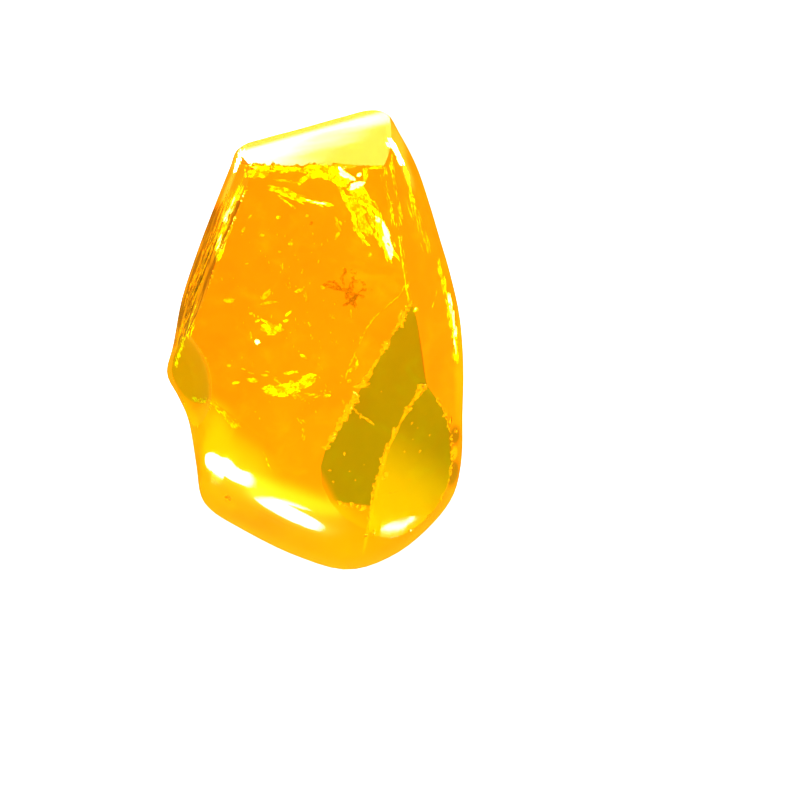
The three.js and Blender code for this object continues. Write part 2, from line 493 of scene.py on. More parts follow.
LEAST_FACING = 0.5  # cosine of the largest angle between a polygon and the face that it lies on
FLAT_GAP = 0.05  # the farthest that a polygon's corner lies from a flat face
HOLLOW_GAP = 0.08  # the same for a shell-shaped break


def lies_on(face, corners, normal):
    """Whether a polygon lies on a flat face of the stone."""
    facing = Vector(face["facing"]).normalized()
    if normal.dot(facing) <= LEAST_FACING:
        return False
    return all(abs((corner - Vector(face["at"])).dot(facing)) < FLAT_GAP for corner in corners)


def lies_in(hollow, corners, normal):
    """Whether a polygon lies in a shell-shaped break of the stone."""
    facing = Vector(hollow["facing"]).normalized()
    middle = Vector(hollow["at"]) + facing * (hollow["radius"] - hollow["sag"])
    if normal.dot(middle - corners[0]) < LEAST_FACING * hollow["radius"]:
        return False
    return all(abs((middle - corner).length - hollow["radius"]) < HOLLOW_GAP for corner in corners)


def face_name(mesh, polygon):
    """The name of the face of the stone that a polygon belongs to, or nothing for its round parts."""
    corners = [mesh.vertices[i].co / MM for i in polygon.vertices]
    for name, hollow in HOLLOWS.items():
        if lies_in(hollow, corners, polygon.normal):
            return name
    for name, face in FLAT_FACES.items():
        if lies_on(face, corners, polygon.normal):
            return name
    return ""


def border_edges(mesh, names):
    """The edges between faces of different names, each with the names and normals beside it."""
    beside = {}
    for face, name in zip(mesh.polygons, names):
        for key in face.edge_keys:
            beside.setdefault(key, []).append((name, face.normal))
    found = []
    for edge in mesh.edges:
        sides = beside.get(edge.key, [])
        if len(sides) == 2 and sides[0][0] != sides[1][0]:
            found.append((edge, {sides[0][0], sides[1][0]}, sides[0][1] + sides[1][1]))
    return found


def nicked_faces(mesh):
    """For each face of the stone, whether a nick made it."""
    nicks = mesh.attributes.get("nick")
    return [value.value > 0.5 for value in nicks.data] if nicks else [False] * len(mesh.polygons)


def shade_faces(stone):
    """Smooth on the round stretches, flat on the flat faces, sharp where they meet."""
    mesh = stone.data
    nicked = nicked_faces(mesh)
    names = ["nick" if cut else face_name(mesh, face) for face, cut in zip(mesh.polygons, nicked)]
    for edge, _, _ in border_edges(mesh, names):
        edge.use_edge_sharp = True
    only(stone)
    bpy.ops.object.shade_smooth_by_angle(angle=math.radians(SMOOTH_ANGLE), keep_sharp_edges=True)
    for polygon, name in zip(mesh.polygons, names):
        if name in FLAT_FACES:
            polygon.use_smooth = False
    return names


SHADE_AND_GLOSS_FACES = ("chip", "oval", "tip", "crown")
BACK_DOWN = -0.3  # how far a normal points down where the back's finish begins


def mark_faces(stone, names):
    """Writes into the mesh where each mark applies, for the material to read: painted shade on the chip, oval
    and tip breaks, gloss on the crown, roughness on the back and streaks on the strip.
    """
    mesh = stone.data
    marks = {mark: [0.0] * len(names) for mark in (*SHADE_AND_GLOSS_FACES, "back", "strip")}
    for i, (face, name) in enumerate(zip(mesh.polygons, names)):
        if name in SHADE_AND_GLOSS_FACES:
            marks[name][i] = 1.0
        if face.normal.z < BACK_DOWN:
            marks["back"][i] = 1.0
        strip_turn = math.degrees(face.normal.angle(Vector(STRIP_FACING)))
        if strip_turn < STRIP_SPREAD and STRIP_REACH[0] < face.center.y / MM < STRIP_REACH[1]:
            marks["strip"][i] = 1.0
    for mark, values in marks.items():
        set_face_values(mesh, mark, values)


# ---- wear on the ridges ----

# Ridges that carry nicks. between: the faces that meet there, with an empty name for a round part, or
# one face for all of its borders. low and high: the box that holds the ridge. gap: mean distance from
# nick to nick. size: smallest and largest nick radius. bite: share of the radius that is cut.
RIDGES = (
    {"between": {"front", "crown"}, "low": (-8.5, 21.0, 23.0), "high": (9.5, 22.0, 25.0),
     "gap": 0.26, "size": (0.08, 0.6), "bite": 0.55},
    {"between": {"front", "chip"}, "low": (-4.0, -20.0, 23.0), "high": (12.5, 3.6, 25.0),
     "gap": 0.16, "size": (0.05, 0.5), "bite": 0.5},
    {"between": {"oval"}, "low": (4.5, -27.5, 14.0), "high": (19.0, -7.0, 23.8),
     "gap": 0.22, "size": (0.05, 0.36), "bite": 0.5},
    {"between": {"front", ""}, "low": (7.0, -8.0, 22.0), "high": (13.0, 28.0, 24.2),
     "gap": 1.3, "size": (0.08, 0.2), "bite": 0.4},
    {"between": {"front", ""}, "low": (-17.0, -2.5, 21.0), "high": (-6.0, 23.5, 24.2),
     "gap": 0.5, "size": (0.08, 0.3), "bite": 0.5},
    {"between": {"tip"}, "low": (-19.0, -13.0, 14.0), "high": (-11.0, -0.5, 24.2),
     "gap": 0.7, "size": (0.06, 0.24), "bite": 0.45},
)
NICK_STRETCH = (0.9, 3.0)  # length of a nick against its width
PIT_STRETCH = (0.8, 1.4)
NICK_SPIN = 1.4  # radians to either side of the ridge
SMALL_FAVOUR = 3  # the higher, the more of the nicks are small
LUMPS = 6  # different shapes of nick
LUMP_UNEVENNESS = 0.36
LUMP_SUBDIVISIONS = 2

# Larger nicks at places of their own: x, y and radius.
SINGLE_NICKS = (
    (13.4, -5.7, 0.75), (13.0, -6.3, 0.5), (8.9, -16.4, 0.5), (8.5, -16.9, 0.35), (6.4, -24.0, 0.4),
    (3.2, -19.9, 0.4), (3.9, -20.2, 0.3), (4.7, -20.1, 0.45), (5.4, -20.4, 0.3), (6.1, -20.6, 0.42),
    (11.5, 6.7, 0.3), (12.8, 3.9, 0.35), (16.9, -9.8, 0.35), (17.6, -11.2, 0.3), (-10.7, -19.4, 0.5),
)
SINGLE_NICK_BITE = 0.5

# Specks on the shaded faces, as tiny pits: x, y and radius.
SPECKS = (
    (12.1, -10.1, 0.16), (12.8, -10.7, 0.12), (11.2, -13.6, 0.13), (13.1, -13.6, 0.15), (11.8, -17.1, 0.1),
    (13.8, -9.0, 0.09), (14.3, -11.6, 0.11), (12.2, -12.1, 0.08), (3.8, -13.8, 0.2), (2.0, -15.9, 0.15),
    (5.1, -17.1, 0.13), (2.4, -17.3, 0.16), (6.2, -15.2, 0.09), (4.4, -16.0, 0.08), (8.3, -6.2, 0.08),
)

# Hairline cracks as rows of small pits. path: places seen from above. count: pits. size: their radius.
CRACKS = (
    {"path": ((3.5, -7.4), (4.6, -8.0), (5.5, -8.9)), "count": 16, "size": (0.05, 0.12)},
    {"path": ((5.7, -9.2), (6.6, -9.6), (7.4, -10.3)), "count": 13, "size": (0.06, 0.13)},
    {"path": ((7.6, -19.4), (8.8, -18.8), (10.4, -18.6)), "count": 12, "size": (0.05, 0.09)},
)

# The rough strip beside the left ridge: it runs from its upper to its lower end.
STRIP_TOP = (-10.4, 19.0, 21.6)
STRIP_END = (-16.9, 0.6, 21.0)
STRIP_FACING = (-0.80, 0.32, 0.51)
STRIP_SPREAD = 24.0  # degrees
STRIP_TURN = -110.0  # degrees, the way that the strip runs
STRIP_REACH = (-0.5, 17.0)  # along Y
STRIP_HALF_WIDTH = 1.6
STRIP_GROOVES = 46
GROOVE_LENGTH = (0.7, 3.2)  # half lengths
GROOVE_WIDTH = (0.08, 0.26)  # half widths
GROOVE_BITE = 0.55
GROOVE_SPIN = 0.16  # radians
OFF_STRIP = 6.0  # how far off the strip the search for its surface starts

SMOOTH_ANGLE = 14.0  # degrees


def make_lump(name, unevenness, seed):
    """A small uneven ball of radius 1 mm, the start of every nick and flake."""
    bpy.ops.object.select_all(action="DESELECT")
    bpy.ops.mesh.primitive_ico_sphere_add(subdivisions=LUMP_SUBDIVISIONS, radius=MM, location=(0, 0, 0))
    lump = bpy.context.active_object
    lump.name = name
    in_edit_mode(
        lump,
        lambda: bpy.ops.transform.vertex_random(offset=unevenness * MM, uniform=1.0, normal=0.0, seed=seed),
    )
    return lump


def joined(pieces, name):
    """Joins pieces into the first one and puts its place into its mesh."""
    bpy.ops.object.select_all(action="DESELECT")
    for piece in pieces:
        piece.select_set(True)
    bpy.context.view_layer.objects.active = pieces[0]
    bpy.ops.object.transform_apply(location=True, rotation=True, scale=True)
    bpy.ops.object.join()
    whole = bpy.context.active_object
    whole.name = name
    whole.data.name = name
    return whole


def lying(along, side, out):
    """The turn that lays a piece's x, y and z along three given ways."""
    return Matrix((along, side, out)).transposed().to_quaternion()


def spun(dice, reach, axis="Z"):
    """A random turn of up to reach radians to either side."""
    return Matrix.Rotation(dice.uniform(-reach, reach), 3, axis).to_quaternion()


def placed_copy(source, place, turn, size):
    """A copy of source at place, turned and scaled. place is in metres, size has no unit."""
    piece = copy_of(source, source.name)
    piece.matrix_world = Matrix.Translation(place) @ turn.to_matrix().to_4x4() @ Matrix.Diagonal((*size, 1.0))
    return piece


def remove(obj):
    mesh = obj.data
    bpy.data.objects.remove(obj)
    bpy.data.meshes.remove(mesh)


def inside(point, low, high):
    return all(low[i] <= point[i] / MM <= high[i] for i in range(3))


def ridge_points(borders, mesh, ridge, dice):
    """Places along the ridges in a ridge's box: a point, the way out and the way along."""
    found = []
    for edge, between, normals in borders:
        start, end = (mesh.vertices[i].co for i in edge.vertices)
        if not ridge["between"] <= between or not inside((start + end) / 2, ridge["low"], ridge["high"]):
            continue
        out = normals.normalized()
        expected = (end - start).length / MM / ridge["gap"]
        count = int(expected) + (dice.random() < expected % 1.0)
        for _ in range(count):
            found.append((start.lerp(end, dice.random()), out, (end - start).normalized()))
    return found


def nick_at(lump, place, out, along, radius, bite, dice, stretches=NICK_STRETCH):
    """One cutter that bites into the stone at place by bite times its radius."""
    stretch = dice.uniform(*stretches)
    turn = lying(along, out.cross(along), out) @ spun(dice, NICK_SPIN)
    centre = place + out * radius * (1.0 - bite) * MM
    return placed_copy(lump, centre, turn, (radius * stretch, radius, radius))


def surface_at(stone, x, y):
    """The place on the stone under x, y and its normal."""
    hit, place, normal, _ = stone.ray_cast(metres((x, y, ABOVE_STONE)), DOWN)
    if not hit:
        raise RuntimeError(f"no surface under {x}, {y}")
    return place, normal


def flattened(way, normal):
    """The part of a way that runs along a surface, given the surface's normal."""
    return (way - normal * way.dot(normal)).normalized()


def ridge_nicks(stone, lumps, dice):
    names = [face_name(stone.data, face) for face in stone.data.polygons]
    borders = border_edges(stone.data, names)
    for ridge in RIDGES:
        for place, out, along in ridge_points(borders, stone.data, ridge, dice):
            small, large = ridge["size"]
            radius = small + (large - small) * dice.random() ** SMALL_FAVOUR
            yield nick_at(dice.choice(lumps), place, out, along, radius, ridge["bite"], dice)


def single_nicks(stone, lumps, dice):
    for x, y, radius in SINGLE_NICKS + SPECKS:
        place, normal = surface_at(stone, x, y)
        along = normal.orthogonal().normalized()
        lump = dice.choice(lumps)
        yield nick_at(lump, place, normal, along, radius, SINGLE_NICK_BITE, dice, PIT_STRETCH)


def crack_nicks(stone, lumps, dice):
    for crack in CRACKS:
        for i in range(crack["count"]):
            x, y, way = along_path(crack["path"], (i + dice.random()) / crack["count"])
            place, normal = surface_at(stone, x, y)
            along = flattened(Vector((math.cos(way), math.sin(way), 0.0)), normal)
            radius = dice.uniform(*crack["size"])
            yield nick_at(dice.choice(lumps), place, normal, along, radius, SINGLE_NICK_BITE, dice)


def strip_grooves(stone, lumps, dice):
    top, end, out = metres(STRIP_TOP), metres(STRIP_END), Vector(STRIP_FACING).normalized()
    along = (end - top).normalized()
    across = out.cross(along).normalized()
    out = along.cross(across).normalized()
    for _ in range(STRIP_GROOVES):
        start = top.lerp(end, dice.random()) + across * dice.uniform(-1, 1) * STRIP_HALF_WIDTH * MM
        hit, place, normal, _ = stone.ray_cast(start + out * OFF_STRIP * MM, -out)
        if not hit:
            continue
        radius = dice.uniform(*GROOVE_WIDTH)
        length = dice.uniform(*GROOVE_LENGTH)
        side = normal.cross(along).normalized()
        turn = lying(side.cross(normal), side, normal) @ spun(dice, GROOVE_SPIN)
        centre = place + normal * radius * (1.0 - GROOVE_BITE) * MM
        yield placed_copy(dice.choice(lumps), centre, turn, (length, radius, radius))


def make_cutters(stone):
    """One cutter for each nick and groove, at its place."""
    dice = random.Random(SEED)
    lumps = [make_lump(f"lump_{i}", LUMP_UNEVENNESS, SEED + i) for i in range(LUMPS)]
    cutters = []
    for kind in (ridge_nicks, single_nicks, crack_nicks, strip_grooves):
        cutters.extend(kind(stone, lumps, dice))
    for lump in lumps:
        remove(lump)
    return cutters


def set_face_values(mesh, name, values):
    layer = mesh.attributes.get(name) or mesh.attributes.new(name, "FLOAT", "FACE")
    layer.data.foreach_set("value", values)


def cut_nicks(stone, cutters):
    """Cuts the nicks and remembers which faces they made."""
    set_face_values(stone.data, "nick", [0.0] * len(stone.data.polygons))
    tray = bpy.data.collections.new("cutters")
    bpy.context.scene.collection.children.link(tray)
    for cutter in cutters:
        apply_place(cutter)
        set_face_values(cutter.data, "nick", [1.0] * len(cutter.data.polygons))
        bpy.context.scene.collection.objects.unlink(cutter)
        tray.objects.link(cutter)
    cut = stone.modifiers.new("nicks", "BOOLEAN")
    cut.operation = "DIFFERENCE"
    cut.solver = "MANIFOLD"
    cut.operand_type = "COLLECTION"
    cut.collection = tray
    apply_modifier(stone, cut)
    for cutter in cutters:
        remove(cutter)
    bpy.data.collections.remove(tray)
    if not any(nicked_faces(stone.data)):
        raise RuntimeError("the nicks were not cut")


def merged_twin(name):
    """A copy of the CAD stone with its shared corners merged and no stored normals."""
    twin = copy_of(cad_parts[STONE_NODE], name)
    twin.parent = None
    twin.hide_viewport = twin.hide_render = False
    twin.hide_set(False)
    only(twin)
    bpy.ops.mesh.customdata_custom_splitnormals_clear()
    in_edit_mode(twin, lambda: bpy.ops.mesh.remove_doubles(threshold=MERGE_DISTANCE))
    return twin


class CRYSTAL_OT_stone(bpy.types.Operator):
    """Merge a copy of the CAD stone, nick its ridges and give it its glass"""
    bl_idname = "crystal.stone"
    bl_label = "Stone"

    def execute(self, context):
        stone = merged_twin("crystal_stone")
        cutters = make_cutters(stone)
        cut_nicks(stone, cutters)
        names = shade_faces(stone)
        mark_faces(stone, names)
        give_material(stone, make_crystal_material(context.scene.crystal_glass))
        ride(stone)
        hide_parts(STONE_NODE)
        return {"FINISHED"}


# ---- flaws inside the stone ----

# Streams of small flakes just under the surface. Each: its path as places seen from above, how far to
# either side the flakes lie, how many there are, their lengths and their widths from least to most.
GOLD_STREAMS = (
    # broken fringe under the flat end
    (((-8.6, 21.0), (-7.1, 20.8), (-5.7, 21.0)), 0.6, 46, (0.4, 1.1), (0.2, 0.5)),
    (((-5.4, 21.1), (-2.9, 21.1), (-0.5, 21.0)), 0.3, 30, (0.4, 1.2), (0.15, 0.35)),
    (((-1.6, 19.5), (-0.7, 20.2), (0.5, 20.5), (1.5, 20.1)), 0.35, 26, (0.5, 1.3), (0.2, 0.45)),
    (((-0.2, 21.3), (1.4, 21.0), (2.7, 20.4), (3.8, 19.3)), 0.7, 60, (0.5, 1.5), (0.25, 0.6)),
    (((6.4, 21.1), (6.5, 20.1)), 0.3, 9, (0.4, 0.9), (0.15, 0.35)),
    (((6.9, 21.3), (8.6, 21.3)), 0.15, 12, (0.3, 0.7), (0.1, 0.25)),
    # curved flake below the fringe
    (((-5.0, 18.8), (-3.4, 18.2), (-1.8, 17.6)), 0.4, 26, (1.2, 2.6), (0.15, 0.35)),
    (((-1.8, 17.7), (-0.4, 17.2), (0.8, 16.9), (2.0, 16.85)), 0.14, 16, (0.9, 2.0), (0.12, 0.3)),
    (((-4.7, 18.3), (-3.6, 17.3), (-2.3, 16.4)), 0.05, 10, (0.5, 1.0), (0.07, 0.13)),
    # ragged band that runs down towards the right ridge
    (((3.3, 18.6), (4.1, 17.0), (4.9, 15.7), (5.2, 13.8), (6.4, 12.0)),
     0.2, 50, (0.6, 1.5), (0.15, 0.4)),
    (((4.4, 18.6), (5.9, 18.0), (7.0, 16.6), (7.8, 15.0), (8.2, 13.4), (9.0, 11.9), (9.7, 10.3)),
     0.85, 110, (0.5, 1.9), (0.12, 0.4)),
    (((8.7, 21.1), (10.1, 15.6), (10.9, 9.8), (11.6, 5.2)), 0.03, 46, (0.5, 1.4), (0.05, 0.1)),
    # clusters of flecks in the middle
    (((-6.2, 1.8), (-5.2, 1.5), (-4.1, 1.5)), 0.5, 30, (0.4, 1.1), (0.2, 0.5)),
    (((-6.4, 2.8), (-5.4, 2.1)), 0.1, 5, (0.5, 1.0), (0.15, 0.3)),
    (((-5.7, -5.9), (-3.8, -6.1), (-2.2, -5.5), (-0.3, -4.7)), 0.65, 80, (0.6, 1.7), (0.2, 0.55)),
    (((-3.8, -4.0), (-2.2, -3.8)), 0.08, 6, (0.5, 1.0), (0.15, 0.3)),
    # line down the rough strip to the tip
    (((-14.4, 5.1), (-15.2, 3.2), (-15.8, 1.0), (-16.7, -1.0), (-17.5, -3.1)),
     0.1, 44, (0.5, 1.3), (0.1, 0.24)),
    (((-9.4, 18.9), (-10.1, 17.0), (-10.9, 15.2), (-11.6, 13.0), (-12.1, 10.8)),
     0.5, 60, (0.7, 1.8), (0.15, 0.4)),
    # streaks on the right slope
    (((11.5, 21.5), (12.0, 19.3), (12.6, 16.8)), 0.25, 24, (0.6, 1.8), (0.1, 0.35)),
    (((9.6, 23.0), (9.8, 21.6), (10.1, 20.4)), 0.3, 14, (0.4, 1.2), (0.08, 0.25)),
    (((15.6, 9.8), (16.2, 7.6), (16.8, 5.1), (17.3, 2.6), (17.6, 0.2), (17.7, -2.1)),
     0.3, 60, (0.6, 1.8), (0.12, 0.4)),
    # scratch
    (((-6.3, -13.4), (-5.7, -14.9), (-5.2, -16.1)), 0.02, 12, (0.3, 0.7), (0.04, 0.08)),
)
# The white flakes are painted reflections: glowing sheets where mirrored flashes lie inside the stone.
WHITE_GLINT_STREAMS = (
    (((3.2, 21.1), (3.8, 20.5), (4.7, 20.0)), 0.2, 16, (0.5, 1.0), (0.3, 0.5)),
    (((4.9, 18.9), (5.9, 19.4)), 0.25, 12, (0.6, 1.2), (0.3, 0.6)),
    (((7.9, 15.2), (8.4, 14.2), (8.8, 13.0), (9.2, 11.8), (9.5, 10.9)),
     0.3, 44, (0.8, 1.9), (0.25, 0.5)),
    (((-0.5, 17.2), (0.4, 17.0), (1.3, 16.9)), 0.06, 8, (0.6, 1.2), (0.1, 0.22)),
    (((-9.7, 18.3), (-10.3, 16.8), (-11.1, 15.0)), 0.22, 26, (0.7, 1.6), (0.15, 0.35)),
    (((-11.6, 12.7), (-12.1, 11.3)), 0.15, 8, (0.5, 1.1), (0.15, 0.3)),
    (((9.6, 24.9), (10.2, 23.9), (11.0, 22.2)), 0.32, 44, (0.5, 1.2), (0.2, 0.4)),
    (((-9.2, 23.3), (-9.6, 22.2), (-10.0, 21.2)), 0.2, 20, (0.4, 0.9), (0.15, 0.3)),
    (((16.9, 5.8), (17.3, 3.4), (17.6, 1.0), (17.8, -1.0)), 0.15, 26, (0.5, 1.5), (0.12, 0.3)),
)
AMBER_STREAMS = (
    # fine dust all over the front
    (((-4.0, 14.0), (-3.0, 6.0), (-2.0, -2.0), (2.0, -8.0)), 8.0, 120, (0.1, 0.45), (0.05, 0.16)),
    (((12.4, 17.2), (13.2, 14.6), (14.3, 11.4)), 0.6, 26, (0.6, 2.0), (0.08, 0.25)),
    (((10.0, 20.0), (10.6, 17.4), (11.2, 14.0)), 0.3, 20, (0.5, 1.6), (0.06, 0.2)),
    (((4.7, 17.4), (5.9, 15.6), (6.7, 13.5)), 0.7, 46, (0.8, 2.0), (0.2, 0.5)),
    (((2.7, 15.1), (3.2, 13.5), (2.4, 11.9)), 0.14, 14, (0.4, 0.9), (0.1, 0.2)),
    (((-5.0, 19.9), (-3.0, 19.6), (-1.6, 19.4)), 0.08, 10, (0.5, 1.2), (0.1, 0.2)),
    (((11.5, 7.2), (10.4, 5.5), (9.1, 4.4), (7.4, 2.9), (6.4, 1.4), (5.6, -0.5), (4.6, -2.5),
      (3.8, -4.8)), 0.05, 44, (0.4, 1.0), (0.06, 0.12)),
    (((-9.1, -3.6), (-5.4, -4.2), (-1.7, -7.0), (2.0, -6.4)), 0.5, 34, (0.3, 0.9), (0.08, 0.22)),
    (((-15.3, -6.9), (-14.0, -7.2), (-12.4, -7.7), (-11.0, -9.0), (-9.3, -10.6)),
     0.45, 60, (0.3, 1.0), (0.08, 0.2)),
    (((-13.2, -15.2), (-12.6, -16.8), (-12.0, -18.3)), 0.4, 22, (0.3, 0.8), (0.08, 0.2)),
    (((-2.0, -9.4), (-1.1, -10.3), (-1.5, -12.2)), 0.3, 12, (0.3, 0.7), (0.08, 0.2)),
)
DARK_STREAMS = (
    # root-like stain
    (((1.2, 6.9), (2.6, 6.6), (3.9, 6.3), (5.1, 5.6), (6.0, 5.5)),
     0.14, 44, (0.25, 0.7), (0.16, 0.32)),
    (((3.9, 6.3), (3.4, 7.7), (4.0, 8.9)), 0.22, 22, (0.2, 0.5), (0.13, 0.26)),
    (((5.1, 5.6), (4.7, 4.8), (3.7, 4.4)), 0.14, 24, (0.25, 0.6), (0.16, 0.32)),
    (((4.2, 6.4), (5.0, 7.4), (6.4, 7.0)), 0.35, 20, (0.15, 0.4), (0.11, 0.22)),
    (((4.4, 6.1), (4.9, 7.6), (4.8, 8.8)), 0.3, 26, (0.2, 0.6), (0.11, 0.22)),
    (((3.2, 6.4), (2.5, 7.3), (1.9, 7.4)), 0.2, 18, (0.2, 0.5), (0.11, 0.22)),
    (((4.0, 6.2), (4.2, 5.2), (5.2, 4.3)), 0.25, 26, (0.2, 0.6), (0.11, 0.22)),
    (((5.1, 5.6), (6.1, 6.4), (7.1, 6.2)), 0.2, 16, (0.2, 0.5), (0.11, 0.22)),
    # dark striations in the rough strip
    (((-12.0, 14.2), (-13.3, 10.8), (-14.6, 7.0), (-15.8, 3.4), (-16.7, 1.0)),
     0.45, 90, (0.6, 2.2), (0.06, 0.2)),
)

# Single flakes: x, y, length, width and turn in degrees.
GOLD_FLAKES = (
    (-3.1, 3.4, 1.0, 0.35, 40), (-3.4, 2.5, 0.7, 0.3, 10), (-6.9, 2.5, 0.6, 0.3, 20),
    (-5.2, 0.8, 1.0, 0.15, 0), (-7.7, 0.7, 0.8, 0.25, 95), (-1.8, 6.2, 1.0, 0.4, 20),
    (-1.2, -1.9, 1.0, 0.35, -30), (-7.5, -4.8, 1.4, 0.5, -10), (-9.5, -5.1, 1.0, 0.35, 10),
    (1.7, -6.7, 0.8, 0.4, 10), (5.3, -2.9, 1.1, 0.35, 80), (4.6, -3.5, 0.6, 0.4, 45),
    (4.4, -4.9, 0.5, 0.4, 45), (-8.6, 13.7, 0.7, 0.35, 60), (-2.8, 12.0, 0.6, 0.5, 0),
    (5.9, 14.2, 0.4, 0.4, 0), (-4.3, 15.2, 0.6, 0.45, 20), (11.5, 6.7, 0.9, 0.15, 60),
    (11.5, 6.7, 0.9, 0.15, 150), (11.6, 6.8, 0.9, 0.12, 105), (12.6, 3.9, 0.8, 0.4, 30),
    (14.8, 4.6, 0.9, 0.15, 50), (15.2, 6.0, 0.8, 0.15, 60),
)
AMBER_FLAKES = (
    (-7.7, 3.4, 0.6, 0.3, 10), (-5.8, 5.7, 1.5, 0.6, 50), (-5.5, 4.7, 2.0, 0.35, 10),
    (-0.9, 5.5, 1.0, 0.22, 100), (1.1, 6.6, 0.7, 0.4, -20), (-0.5, 2.1, 0.6, 0.22, -50),
    (2.4, 2.9, 0.5, 0.35, 0), (4.6, 3.4, 1.1, 0.22, 95), (-10.4, 5.0, 1.2, 0.6, 0),
    (-10.4, -3.0, 0.5, 0.35, 0), (-6.3, 13.0, 0.5, 0.3, 0), (-0.8, 15.4, 0.4, 0.35, 0),
    (3.3, 14.5, 0.6, 0.3, -60), (3.0, 13.1, 0.6, 0.35, 60), (-4.2, 11.0, 0.5, 0.35, 0),
    (6.9, 10.6, 0.7, 0.35, 80), (-3.8, 9.2, 0.9, 0.12, 90), (-7.8, 15.3, 0.6, 0.2, 50),
    (-8.2, 9.5, 0.5, 0.2, 20), (0.6, 9.8, 0.5, 0.2, 70),
)
WHITE_GLINT_SPOTS = ((-6.9, -0.1, 0.6, 0.58, 0), (5.6, 20.4, 0.5, 0.4, 40), (12.6, 3.9, 0.4, 0.25, 30))
DARK_FLAKES = ((-0.3, 14.5, 0.5, 0.35, 30), (-10.7, -19.4, 0.6, 0.4, 20), (13.5, -5.5, 0.5, 0.4, 60))

STREAM_DEPTH = (0.25, 0.9)
SINGLE_DEPTH = 0.25
CROWDING = 0.5  # the lower, the closer a stream's flakes keep to its path
FLAKE_WANDER = 0.3  # radians to either side of the path
WHITE_WANDER = 0.15
STAIN_WANDER = 0.9
FLAKE_THICKNESS = 0.06
FLAKE_TILT = 0.25  # radians
FLAKE_SHRINK = 0.7  # how much smaller each time, until a flake fits inside the stone
FLAKE_LUMPS = 3
FLAKE_UNEVENNESS = 0.3
LEAST_COVER = 0.12

# The two tones of each kind of flake, and the pattern in which they change.
GOLD_TONES = ((1.0, 0.95, 0.0), (0.75, 0.3, 0.0))
AMBER_TONES = ((1.0, 0.85, 0.0), (0.9, 0.45, 0.0))
WHITE_TONES = ((1.0, 1.0, 1.0), (1.0, 0.95, 0.6))
STAIN_TONES = ((0.45, 0.27, 0.0), (0.65, 0.4, 0.0))
GRAIN = {"scale": 1100.0, "detail": 4.0, "roughness": 0.7}
GRAIN_FADE = (0.42, 0.6)
FLAKE_ROUGHNESS = 0.3


class CrystalFlaws(bpy.types.PropertyGroup):
    # The flakes glow with light of their own: painted glints in place of light that the flaws would catch.
    gold_glow: FloatProperty(
        name="Gold flake light", description="How brightly the gold flakes catch the light",
        default=2.2, min=0.0, soft_max=20.0,
    )
    amber_glow: FloatProperty(
        name="Amber flake light", description="How brightly the faint flakes catch the light",
        default=1.1, min=0.0, soft_max=20.0,
    )
    # The white flakes glow brightly as painted reflections, not as mirrors.
    white_glow: FloatProperty(
        name="White flake light", description="How brightly the mirror-like flakes catch the light",
        default=24.0, min=0.0, soft_max=80.0,
    )
    # The stains glow faintly: painted backlight on their own brown.
    stain_glow: FloatProperty(
        name="Stain light", description="How brightly the brown stains are lit from behind",
        default=0.5, min=0.0, soft_max=5.0,
    )


def skin_of(obj):
    """The surface of an object, ready to be asked for hits and nearest places."""
    points = [obj.matrix_world @ vertex.co for vertex in obj.data.vertices]
    return BVHTree.FromPolygons(points, [tuple(face.vertices) for face in obj.data.polygons])


def place_under(skin, x, y, depth):
    """A point under the upper surface at x, y, with the surface's normal there."""
    place, normal, _, _ = skin.ray_cast(metres((x, y, ABOVE_STONE)), DOWN)
    if place is None:
        raise RuntimeError(f"no stone at {x}, {y}")
    return place - normal * depth * MM, normal


def well_inside(skin, point):
    """Whether a point lies inside the stone with a little to spare."""
    nearest, normal, _, _ = skin.find_nearest(point)
    return (nearest - point).dot(normal) > LEAST_COVER * MM


def flake_at(lump, skin, x, y, length, width, turn, depth, dice):
    """One flake that lies along the surface, turned about its normal and tilted a little."""
    place, normal = place_under(skin, x, y, depth)
    along = flattened(Vector((math.cos(turn), math.sin(turn), 0.0)), normal)
    side = normal.cross(along)
    lie = lying(along, side, normal) @ spun(dice, FLAKE_TILT, "X")
    while length > FLAKE_THICKNESS:
        ends = (along * length, -along * length, side * width, -side * width)
        if all(well_inside(skin, place + end / 2 * MM) for end in ends):
            break
        length, width = length * FLAKE_SHRINK, width * FLAKE_SHRINK
    return placed_copy(lump, place, lie, (length / 2, width / 2, FLAKE_THICKNESS / 2))


def along_path(path, share):
    """The point and the way at a share of a path's length."""
    steps = [math.dist(path[i], path[i + 1]) for i in range(len(path) - 1)]
    left = share * sum(steps)
    for i, step in enumerate(steps):
        if left <= step or i == len(steps) - 1:
            t = min(left / step, 1.0)
            (x0, y0), (x1, y1) = path[i], path[i + 1]
            return x0 + (x1 - x0) * t, y0 + (y1 - y0) * t, math.atan2(y1 - y0, x1 - x0)
        left -= step


